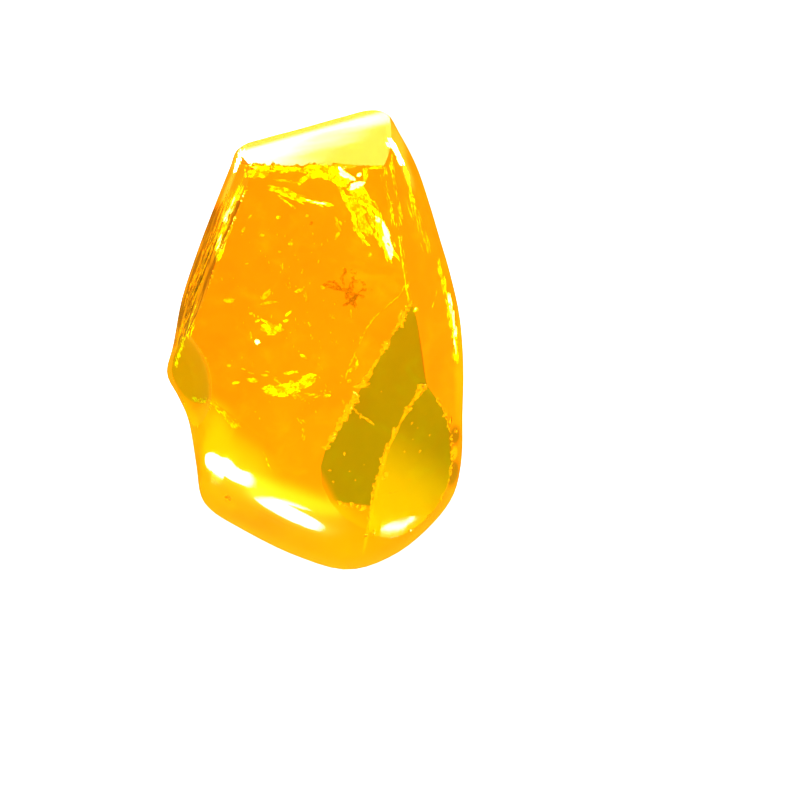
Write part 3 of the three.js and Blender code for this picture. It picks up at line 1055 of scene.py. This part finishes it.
def make_flakes(name, streams, singles, seed, wander=FLAKE_WANDER):
    """One joined piece of flakes, in streams and at single places."""
    skin = skin_of(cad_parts[STONE_NODE])
    dice = random.Random(seed)
    lumps = [make_lump(f"flake_{i}", FLAKE_UNEVENNESS, seed + i) for i in range(FLAKE_LUMPS)]
    pieces = []
    for path, spread, count, lengths, widths in streams:
        for _ in range(count):
            x, y, way = along_path(path, dice.random())
            aside = max(-1.0, min(1.0, dice.gauss(0.0, CROWDING))) * spread
            x, y = x - math.sin(way) * aside, y + math.cos(way) * aside
            length, width = dice.uniform(*lengths), dice.uniform(*widths)
            turn = way + dice.uniform(-wander, wander)
            depth = dice.uniform(*STREAM_DEPTH)
            pieces.append(flake_at(dice.choice(lumps), skin, x, y, length, width, turn, depth, dice))
    for x, y, length, width, turn in singles:
        lump = dice.choice(lumps)
        pieces.append(flake_at(lump, skin, x, y, length, width, math.radians(turn), SINGLE_DEPTH, dice))
    flakes = joined(pieces, name)
    for lump in lumps:
        remove(lump)
    only(flakes)
    bpy.ops.object.shade_smooth()
    ride(flakes)
    return flakes


def flake_tone_group():
    """The node group that wanders between two tones over a flake. It is made once."""
    group = bpy.data.node_groups.get("flake_tone")
    if group:
        return group
    group = bpy.data.node_groups.new("flake_tone", "ShaderNodeTree")
    group.interface.new_socket("Point", in_out="INPUT", socket_type="NodeSocketVector")
    group.interface.new_socket("First tone", in_out="INPUT", socket_type="NodeSocketColor")
    group.interface.new_socket("Second tone", in_out="INPUT", socket_type="NodeSocketColor")
    group.interface.new_socket("Tone", in_out="OUTPUT", socket_type="NodeSocketColor")
    shader = Shader(group)
    given = shader.node("NodeGroupInput").outputs
    share = shader.smooth(shader.noise(given["Point"], **GRAIN), *GRAIN_FADE)
    tone = shader.mix(share, given["Second tone"], given["First tone"])
    shader.link(tone, shader.node("NodeGroupOutput").inputs["Tone"])
    return group


def make_flake_material(name, tones, glow):
    """A thin flake: its colour wanders between two tones, and it glows in them, painted light in place of
    light that it would catch or let through.
    """
    material, shader, surface, _ = new_material(name)
    blend = shader.node("ShaderNodeGroup", node_tree=flake_tone_group())
    first, second = (opaque(tone) for tone in tones)
    shader.fill(blend, {"Point": shader.object_point(), "First tone": first, "Second tone": second})
    tone = blend.outputs["Tone"]
    shader.fill(surface, {"Base Color": tone, "Emission Color": tone})
    shader.fill(surface, {"Emission Strength": glow, "Roughness": FLAKE_ROUGHNESS})
    return material


class CRYSTAL_OT_gold_flakes(bpy.types.Operator):
    """Scatter the bright yellow flakes, which glow as painted glints"""
    bl_idname = "crystal.gold_flakes"
    bl_label = "Gold flakes"

    def execute(self, context):
        flakes = make_flakes("gold_flakes", GOLD_STREAMS, GOLD_FLAKES, SEED + 10)
        glow = context.scene.crystal_flaws.gold_glow
        give_material(flakes, make_flake_material("gold_flake", GOLD_TONES, glow))
        return {"FINISHED"}


class CRYSTAL_OT_amber_flakes(bpy.types.Operator):
    """Scatter the faint amber flakes, which glow faintly as painted glints"""
    bl_idname = "crystal.amber_flakes"
    bl_label = "Amber flakes"

    def execute(self, context):
        flakes = make_flakes("amber_flakes", AMBER_STREAMS, AMBER_FLAKES, SEED + 20)
        glow = context.scene.crystal_flaws.amber_glow
        give_material(flakes, make_flake_material("amber_flake", AMBER_TONES, glow))
        return {"FINISHED"}


class CRYSTAL_OT_white_glint_flakes(bpy.types.Operator):
    """Scatter the white glowing flakes, painted reflections of the flashes inside the stone"""
    bl_idname = "crystal.white_flakes"
    bl_label = "White flakes"

    def execute(self, context):
        flakes = make_flakes("white_flakes", WHITE_GLINT_STREAMS, WHITE_GLINT_SPOTS, SEED + 30, WHITE_WANDER)
        glow = context.scene.crystal_flaws.white_glow
        give_material(flakes, make_flake_material("white_glint_flake", WHITE_TONES, glow))
        return {"FINISHED"}


class CRYSTAL_OT_dark_stains(bpy.types.Operator):
    """Scatter the brown stains, which glow faintly in painted backlight"""
    bl_idname = "crystal.dark_stains"
    bl_label = "Dark stains"

    def execute(self, context):
        stains = make_flakes("dark_stains", DARK_STREAMS, DARK_FLAKES, SEED + 40, STAIN_WANDER)
        glow = context.scene.crystal_flaws.stain_glow
        give_material(stains, make_flake_material("dark_stain", STAIN_TONES, glow))
        return {"FINISHED"}


# ---- the stage ----

class CrystalStage(bpy.types.PropertyGroup):
    fill: FloatProperty(
        name="Fill", description="Brightness of the two softboxes",
        default=3.0, min=0.0, soft_max=40.0,
    )
    ambient: FloatProperty(
        name="Ambient", description="Brightness of the room for scattered light",
        default=0.3, min=0.0, soft_max=2.0,
    )
    floor_glow: FloatProperty(
        name="Floor glow", description="Brightness of the backlit floor",
        default=1.1, min=0.0, soft_max=4.0,
    )
    mirrored: FloatProperty(
        name="Mirrored surroundings", description="Brightness of room and floor in reflections",
        default=0.7, min=0.0, soft_max=2.0,
    )
    mirrored_colour: FloatVectorProperty(
        name="Mirrored colour", description="Colour of room and floor in reflections",
        default=(1.0, 0.72, 0.0), size=3, min=0.0, max=1.0, subtype="COLOR",
    )


CAMERA_AT = (10.24, -6.86, 400.0)
CLIP_START = 10.0
SENSOR = 36.0
PICTURE_PIXELS = 794  # width of the picture
FOCAL_PIXELS = 3064  # focal length, measured in pixels of the picture
LENS = SENSOR * FOCAL_PIXELS / PICTURE_PIXELS

FLOOR_SIDE = 3000.0
FLOOR_DROP = 0.05  # how far the floor lies below the stone's flat back
FLOOR_ROUGHNESS = 0.9
WHITE = (1.0, 1.0, 1.0, 1.0)
PAPER = (0.9, 0.9, 0.9, 1.0)
MIRRORED_PAPER = (0.05, 0.05, 0.05, 1.0)

LIGHT_DISTANCE = 600.0
FILL_TURNS = (60, 150)  # degrees round the stone
FILL_LIFT = 62.0  # degrees above the floor
FILL_SIDE = 250.0

# Gleams that the camera sees mirrored in the surface. at: the middle. ends and sides: how far each
# reaches, as places seen from above. margin: how far the light is larger than that.
GLEAMS = (
    {"name": "left_gleam", "at": (-10.9, -15.5), "ends": ((-13.8, -13.6), (-7.9, -17.4)),
     "sides": ((-10.4, -14.7), (-11.4, -16.4)), "radiance": 14.0},
    {"name": "foot_gleam", "at": (-3.5, -21.0), "ends": ((-7.2, -19.7), (0.3, -22.2)),
     "sides": ((-3.1, -19.8), (-3.9, -22.2)), "radiance": 14.0},
    {"name": "oval_gleam", "at": (10.2, -23.0), "ends": ((8.0, -23.1), (12.2, -22.2)),
     "sides": ((10.1, -22.5), (10.3, -23.5)), "radiance": 14.0},
)
CROWN_LIGHT = {
    "name": "crown_light", "at": (-0.5, 23.8), "ends": ((-8.0, 23.2), (7.0, 23.2)),
    "sides": ((-0.5, 21.8), (-0.5, 26.0)), "radiance": 13.0, "margin": 110.0,
}
LEAST_REACH = 0.2  # cosine of the largest angle between a light's own way and one of its rays


def mirrored_view(twin, skin, x, y):
    """The place on the surface at x, y and the way in which it mirrors the camera's view."""
    place, _, index, _ = skin.ray_cast(metres((x, y, ABOVE_STONE)), DOWN)
    if place is None:
        raise RuntimeError(f"no surface under {x}, {y}")
    face = twin.data.polygons[index]
    corners = [twin.data.vertices[i].co for i in face.vertices]
    normals = [twin.data.corner_normals[i].vector for i in face.loop_indices]
    normal = Vector()
    for share, corner_normal in zip(poly_3d_calc(corners, place), normals):
        normal += corner_normal * share
    view = (place - metres(CAMERA_AT)).normalized()
    return place, view.reflect(normal.normalized())


def area_light(name, shape, size, size_y, radiance):
    """An area light of a size in metres. radiance is how bright it looks."""
    light = bpy.data.lights.new(name, "AREA")
    light.shape = shape
    light.size = size
    light.size_y = size_y
    area = size * size_y * (math.pi / 4 if shape == "ELLIPSE" else 1.0)
    light.energy = radiance * math.pi * area
    obj = bpy.data.objects.new(name, light)
    bpy.context.scene.collection.objects.link(obj)
    return obj


def mirrored_light(twin, skin, name, at, ends, sides, radiance, margin=0.0, shape="ELLIPSE"):
    """A light whose mirror image covers a patch of the stone's surface."""
    place, way = mirrored_view(twin, skin, *at)
    centre = place + way * LIGHT_DISTANCE * MM

    def on_light(x, y):
        start, direction = mirrored_view(twin, skin, x, y)
        if direction.dot(way) < LEAST_REACH:
            raise RuntimeError(f"{name} can't reach {x}, {y}")
        return start + direction * (centre - start).dot(way) / direction.dot(way)

    along = on_light(*ends[1]) - on_light(*ends[0])
    across = on_light(*sides[1]) - on_light(*sides[0])
    y_axis = way.cross(along.normalized()).normalized()
    size_y = abs(across.dot(y_axis)) + margin * MM
    obj = area_light(name, shape, along.length + margin * MM, size_y, radiance)
    turn = Matrix((y_axis.cross(way), y_axis, way)).transposed().to_4x4()
    obj.matrix_world = Matrix.Translation(centre) @ turn
    obj.visible_diffuse = obj.visible_transmission = False


def softbox(turn, radiance):
    """A square light that faces the stone, turn degrees round it."""
    obj = area_light(f"fill_{turn}", "RECTANGLE", FILL_SIDE * MM, FILL_SIDE * MM, radiance)
    azimuth, lift = math.radians(turn), math.radians(FILL_LIFT)
    way = Vector((math.cos(lift) * math.cos(azimuth), math.cos(lift) * math.sin(azimuth), math.sin(lift)))
    obj.location = way * LIGHT_DISTANCE * MM
    obj.rotation_euler = (-way).to_track_quat("-Z", "Y").to_euler()


def mirrored_share(shader):
    """1 for a ray that was mirrored off a surface, 0 for one that went through or scattered."""
    path = shader.node("ShaderNodeLightPath")
    return shader.math("MULTIPLY", path.outputs["Is Glossy Ray"], path.outputs["Is Reflection Ray"])


def ray_share(shader, mirrored, diffuse, otherwise):
    """One value for mirrored rays, one for scattered rays and one for all others."""
    path = shader.node("ShaderNodeLightPath")
    value = shader.mix_value(path.outputs["Is Diffuse Ray"], otherwise, diffuse)
    return shader.mix_value(mirrored_share(shader), value, mirrored)


def mirrored_tint(shader, settings):
    """White, and the colour of warm cards round the stone for mirrored rays."""
    return shader.mix(mirrored_share(shader), WHITE, opaque(settings.mirrored_colour))


def make_floor_material(settings):
    """A pale backlit sheet."""
    material, shader, surface, _ = new_material("floor_sheet")
    shader.fill(surface, {
        "Base Color": shader.mix(mirrored_share(shader), PAPER, MIRRORED_PAPER),
        "Roughness": FLOOR_ROUGHNESS,
        "Specular IOR Level": 0.0,
        "Emission Color": mirrored_tint(shader, settings),
        "Emission Strength": ray_share(shader, settings.mirrored, settings.floor_glow, settings.floor_glow),
    })
    return material


def make_world(settings):
    """The bright room round the stone."""
    world = bpy.data.worlds.new("studio")
    world.use_nodes = True
    shader = Shader(world.node_tree)
    background = world.node_tree.nodes["Background"]
    strength = ray_share(shader, settings.mirrored, settings.ambient, 1.0)
    shader.fill(background, {"Color": mirrored_tint(shader, settings), "Strength": strength})
    return world


def make_camera():
    """A camera that looks straight down."""
    camera = bpy.data.cameras.new("camera")
    camera.lens = LENS
    camera.sensor_width = SENSOR
    camera.clip_start = CLIP_START * MM
    eye = bpy.data.objects.new("camera", camera)
    bpy.context.scene.collection.objects.link(eye)
    eye.location = metres(CAMERA_AT)
    return eye


class CRYSTAL_OT_stage(bpy.types.Operator):
    """Lay the pale floor, hang the lights and set up the camera"""
    bl_idname = "crystal.stage"
    bl_label = "Stage"

    def execute(self, context):
        settings = context.scene.crystal_stage
        bpy.ops.object.select_all(action="DESELECT")
        bpy.ops.mesh.primitive_plane_add(size=FLOOR_SIDE * MM, location=(0, 0, -FLOOR_DROP * MM))
        floor = context.active_object
        floor.name = "floor"
        give_material(floor, make_floor_material(settings))
        for turn in FILL_TURNS:
            softbox(turn, settings.fill)
        twin = merged_twin("mirror")
        shade_faces(twin)
        skin = skin_of(twin)
        mirrored_light(twin, skin, shape="RECTANGLE", **CROWN_LIGHT)
        for gleam in GLEAMS:
            mirrored_light(twin, skin, **gleam)
        remove(twin)
        context.scene.world = make_world(settings)
        context.scene.camera = make_camera()
        context.scene.view_settings.view_transform = "Standard"
        return {"FINISHED"}


class CRYSTAL_PT_panel(bpy.types.Panel):
    """Lists the pieces of the crystal"""
    bl_label = "Crystal"
    bl_idname = "CRYSTAL_PT_panel"
    bl_space_type = "VIEW_3D"
    bl_region_type = "UI"
    bl_category = "Crystal"

    def draw(self, context):
        for operator in OPERATORS:
            self.layout.operator(operator.bl_idname)


OPERATORS = (
    CRYSTAL_OT_stone, CRYSTAL_OT_gold_flakes, CRYSTAL_OT_amber_flakes, CRYSTAL_OT_white_glint_flakes,
    CRYSTAL_OT_dark_stains, CRYSTAL_OT_stage,
)
CLASSES = (CrystalGlass, CrystalFlaws, CrystalStage, *OPERATORS, CRYSTAL_PT_panel)


def register():
    for cls in CLASSES:
        bpy.utils.register_class(cls)
    bpy.types.Scene.crystal_glass = PointerProperty(type=CrystalGlass)
    bpy.types.Scene.crystal_flaws = PointerProperty(type=CrystalFlaws)
    bpy.types.Scene.crystal_stage = PointerProperty(type=CrystalStage)


def unregister():
    del bpy.types.Scene.crystal_stage
    del bpy.types.Scene.crystal_flaws
    del bpy.types.Scene.crystal_glass
    for cls in reversed(CLASSES):
        bpy.utils.unregister_class(cls)


def main():
    register()
    bpy.ops.crystal.stone()
    bpy.ops.crystal.gold_flakes()
    bpy.ops.crystal.amber_flakes()
    bpy.ops.crystal.white_flakes()
    bpy.ops.crystal.dark_stains()
    bpy.ops.crystal.stage()


if __name__ == "__main__":
    main()
